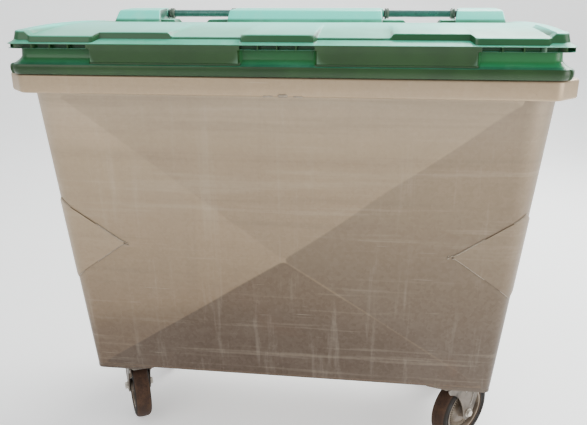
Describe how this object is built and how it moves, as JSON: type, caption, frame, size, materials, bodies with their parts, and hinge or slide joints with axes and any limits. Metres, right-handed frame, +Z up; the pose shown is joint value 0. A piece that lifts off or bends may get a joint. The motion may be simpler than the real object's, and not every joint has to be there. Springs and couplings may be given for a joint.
{
  "type": "wheeled waste container",
  "caption": "Tapered sheet-steel waste container with a folded rim, corner gussets, a domed hinged plastic lid with hinge blocks, and swivel casters.",
  "frame": {"origin": "on the ground under the middle of the overall box", "axes": "+X to the container's right seen from its front, +Y to the rear where the lid is hinged, +Z up"},
  "size_m": [1.26, 0.72, 1.1755],
  "materials": {
    "galvanised_steel": "hot-dip galvanised, weathered to a warm grey",
    "green_plastic": "moulded, sun-bleached on top",
    "zinc_plate": "zinc plated, dusty",
    "tyre": "matt, worn brown by dust",
    "rubber": "matt"
  },
  "bodies": {
    "container": {"front_panel": "galvanised_steel", "rear_panel": "galvanised_steel", "side_panel_left": "galvanised_steel", "side_panel_right": "galvanised_steel", "floor_pan": "galvanised_steel", "rim_front": "galvanised_steel", "rim_rear": "galvanised_steel", "rim_left": "galvanised_steel", "rim_right": "galvanised_steel", "corner_gusset_front_left": "galvanised_steel", "corner_gusset_front_right": "galvanised_steel", "corner_gusset_rear_left": "galvanised_steel", "corner_gusset_rear_right": "galvanised_steel", "caster_pad_front_left": "galvanised_steel", "caster_pad_front_right": "galvanised_steel", "caster_pad_rear_left": "galvanised_steel", "caster_pad_rear_right": "galvanised_steel", "hinge_bracket_left": "zinc_plate", "hinge_bracket_right": "zinc_plate", "hinge_rod_left": "zinc_plate", "hinge_rod_right": "zinc_plate", "hinge_collar_left_inner": "zinc_plate", "hinge_collar_left_outer": "zinc_plate", "hinge_collar_right_inner": "zinc_plate", "hinge_collar_right_outer": "zinc_plate", "drain_collar": "galvanised_steel", "caster_plate_front_left": "zinc_plate", "ball_race_front_left": "zinc_plate", "kingpin_front_left": "zinc_plate", "caster_plate_front_right": "zinc_plate", "ball_race_front_right": "zinc_plate", "kingpin_front_right": "zinc_plate", "caster_plate_rear_left": "zinc_plate", "ball_race_rear_left": "zinc_plate", "kingpin_rear_left": "zinc_plate", "caster_plate_rear_right": "zinc_plate", "ball_race_rear_right": "zinc_plate", "kingpin_rear_right": "zinc_plate"},
    "lid": {"lid": "green_plastic"},
    "drain_bung": {"drain_bung": "rubber"},
    "swivel_front_left": {"fork_front_left": "zinc_plate", "axle_front_left": "zinc_plate"},
    "wheel_front_left": {"wheel_hub_front_left": "zinc_plate", "tyre_front_left": "tyre"},
    "swivel_front_right": {"fork_front_right": "zinc_plate", "axle_front_right": "zinc_plate"},
    "wheel_front_right": {"wheel_hub_front_right": "zinc_plate", "tyre_front_right": "tyre"},
    "swivel_rear_left": {"fork_rear_left": "zinc_plate", "axle_rear_left": "zinc_plate"},
    "wheel_rear_left": {"wheel_hub_rear_left": "zinc_plate", "tyre_rear_left": "tyre"},
    "brake_rear_left": {"brake_pedal_rear_left": "zinc_plate"},
    "swivel_rear_right": {"fork_rear_right": "zinc_plate", "axle_rear_right": "zinc_plate"},
    "wheel_rear_right": {"wheel_hub_rear_right": "zinc_plate", "tyre_rear_right": "tyre"},
    "brake_rear_right": {"brake_pedal_rear_right": "zinc_plate"}
  },
  "joints": [
    {"name": "lid_hinge", "type": "hinge", "parent": "container", "child": "lid", "pos_m": [0, 0.338, 1.157], "axis": [-1, 0, 0], "range_deg": [0, 270]},
    {"name": "drain_bung_pull", "type": "slide", "parent": "container", "child": "drain_bung", "axis": [0, 0, 1], "range_m": [0, 0.04]},
    {"name": "swivel_front_left", "type": "hinge", "parent": "container", "child": "swivel_front_left", "pos_m": [-0.449, -0.162, 0.205], "axis": [0, 0, 1], "continuous": true},
    {"name": "wheel_spin_front_left", "type": "hinge", "parent": "swivel_front_left", "child": "wheel_front_left", "pos_m": [-0.47013, -0.12227, 0.1], "axis": [-0.8829, -0.4695, 0], "continuous": true},
    {"name": "swivel_front_right", "type": "hinge", "parent": "container", "child": "swivel_front_right", "pos_m": [0.449, -0.162, 0.205], "axis": [0, 0, 1], "continuous": true},
    {"name": "wheel_spin_front_right", "type": "hinge", "parent": "swivel_front_right", "child": "wheel_front_right", "pos_m": [0.48082, -0.13018, 0.1], "axis": [-0.7071, 0.7071, 0], "continuous": true},
    {"name": "swivel_rear_left", "type": "hinge", "parent": "container", "child": "swivel_rear_left", "pos_m": [-0.449, 0.118, 0.205], "axis": [0, 0, 1], "continuous": true},
    {"name": "wheel_spin_rear_left", "type": "hinge", "parent": "swivel_rear_left", "child": "wheel_rear_left", "pos_m": [-0.43964, 0.16202, 0.1], "axis": [-0.9781, 0.2079, 0], "continuous": true},
    {"name": "brake_rear_left", "type": "hinge", "parent": "swivel_rear_left", "child": "brake_rear_left", "pos_m": [-0.45732, 0.07887, 0.19], "axis": [0.9781, -0.2079, 0], "range_deg": [0, 9]},
    {"name": "swivel_rear_right", "type": "hinge", "parent": "container", "child": "swivel_rear_right", "pos_m": [0.449, 0.118, 0.205], "axis": [0, 0, 1], "continuous": true},
    {"name": "wheel_spin_rear_right", "type": "hinge", "parent": "swivel_rear_right", "child": "wheel_rear_right", "pos_m": [0.43811, 0.16166, 0.1], "axis": [-0.9703, -0.2419, 0], "continuous": true},
    {"name": "brake_rear_right", "type": "hinge", "parent": "swivel_rear_right", "child": "brake_rear_right", "pos_m": [0.45868, 0.07919, 0.19], "axis": [0.9703, 0.2419, 0], "range_deg": [0, 9]}
  ]
}
